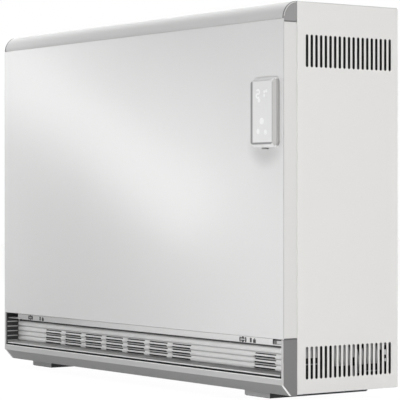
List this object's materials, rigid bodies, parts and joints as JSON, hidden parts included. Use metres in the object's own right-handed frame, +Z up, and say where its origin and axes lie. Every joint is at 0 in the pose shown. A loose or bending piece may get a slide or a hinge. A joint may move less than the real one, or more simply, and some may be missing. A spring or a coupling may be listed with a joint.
{
  "type": "storage heater",
  "caption": "Floor-standing fan storage heater: steel case round a brick core, with outlet grille, side slots and touch control unit.",
  "frame": {"origin": "on the floor under the middle of the heater's box, control unit included", "axes": "+X to the right seen from the front, along the front panel; +Y towards the wall; +Z up"},
  "size_m": [0.926, 0.288, 0.672],
  "materials": {
    "case_white": "satin",
    "strip_white": "satin",
    "cap_grey": "satin",
    "rail_grey": "satin",
    "grille_grey": "satin",
    "dark_plastic": "matte",
    "foot_steel": "satin",
    "pad_black": "matte",
    "zinc_steel": "satin",
    "board_white": "matte",
    "blanket_white": "matte",
    "brick_brown": "matte",
    "element_steel": "satin",
    "bronze": "satin",
    "ivory_plastic": "satin",
    "board_green": "satin",
    "red_plastic": "gloss",
    "lead_red": "satin",
    "unit_white": "gloss",
    "unit_grey": "satin"
  },
  "bodies": {
    "case": {"floor_pan": "zinc_steel", "left_foot": "foot_steel", "right_foot": "foot_steel", "left_foot_pad": "pad_black", "right_foot_pad": "pad_black", "rear_panel": "case_white", "left_side_panel": "case_white", "right_side_panel": "case_white", "top_cover": "case_white", "front_panel": "case_white", "left_front_post": "strip_white", "right_front_post": "strip_white", "top_left_cap": "cap_grey", "top_right_cap": "cap_grey", "bottom_left_cap": "cap_grey", "bottom_right_cap": "cap_grey", "bottom_rail": "rail_grey", "core_shelf": "zinc_steel", "inner_front_panel": "zinc_steel", "compartment_wall": "zinc_steel", "base_insulation": "board_white", "front_insulation": "blanket_white", "rear_insulation": "blanket_white", "left_insulation": "blanket_white", "right_insulation": "blanket_white", "top_insulation": "blanket_white", "bricks_layer_1": "brick_brown", "bricks_layer_2": "brick_brown", "bricks_layer_3": "brick_brown", "bricks_layer_4": "brick_brown", "heating_element_1": "element_steel", "heating_element_2": "element_steel", "heating_element_3": "element_steel", "heating_element_4": "element_steel", "air_duct": "zinc_steel", "flap_motor": "dark_plastic", "fan_bearing": "bronze", "fan_motor": "zinc_steel", "motor_bracket": "zinc_steel", "terminal_block": "ivory_plastic", "cable_grommet": "dark_plastic", "cable_clamp": "ivory_plastic", "charge_board": "board_green", "safety_cutout": "ivory_plastic", "core_sensor": "zinc_steel", "element_leads": "lead_red", "unit_lead": "lead_red", "unit_bracket": "unit_grey", "unit_housing": "unit_grey", "unit_board": "board_green", "unit_glass": "unit_white", "case_screws": "zinc_steel"},
    "fan": {"fan_rotor": "zinc_steel"},
    "flap": {"mixing_flap": "zinc_steel"},
    "grille": {"outlet_grille": "grille_grey", "lint_filter": "dark_plastic"},
    "left_latch": {"left_latch": "dark_plastic"},
    "right_latch": {"right_latch": "dark_plastic"},
    "release_tab": {"release_tab": "dark_plastic"},
    "reset_button": {"reset_button": "red_plastic"}
  },
  "joints": [
    {"name": "fan_spin", "type": "hinge", "parent": "case", "child": "fan", "pos_m": [0, 0.0648, 0.059], "axis": [1, 0, 0], "continuous": true},
    {"name": "flap_turn", "type": "hinge", "parent": "case", "child": "flap", "pos_m": [0, -0.0572, 0.0983], "axis": [1, 0, 0], "range_deg": [0, 60]},
    {"name": "grille_pull", "type": "slide", "parent": "case", "child": "grille", "axis": [0, -1, 0], "range_m": [0, 0.05]},
    {"name": "left_latch_turn", "type": "hinge", "parent": "grille", "child": "left_latch", "pos_m": [-0.3673, -0.126, 0.10385], "axis": [0, 1, 0], "range_deg": [0, 90]},
    {"name": "right_latch_turn", "type": "hinge", "parent": "grille", "child": "right_latch", "pos_m": [0.3445, -0.126, 0.10385], "axis": [0, 1, 0], "range_deg": [0, 90]},
    {"name": "tab_press", "type": "slide", "parent": "case", "child": "release_tab", "axis": [0, 0, 1], "range_m": [0, 0.002], "stiffness_N_per_m": 400},
    {"name": "reset_press", "type": "slide", "parent": "case", "child": "reset_button", "axis": [-1, 0, 0], "range_m": [0, 0.0015], "stiffness_N_per_m": 600}
  ]
}
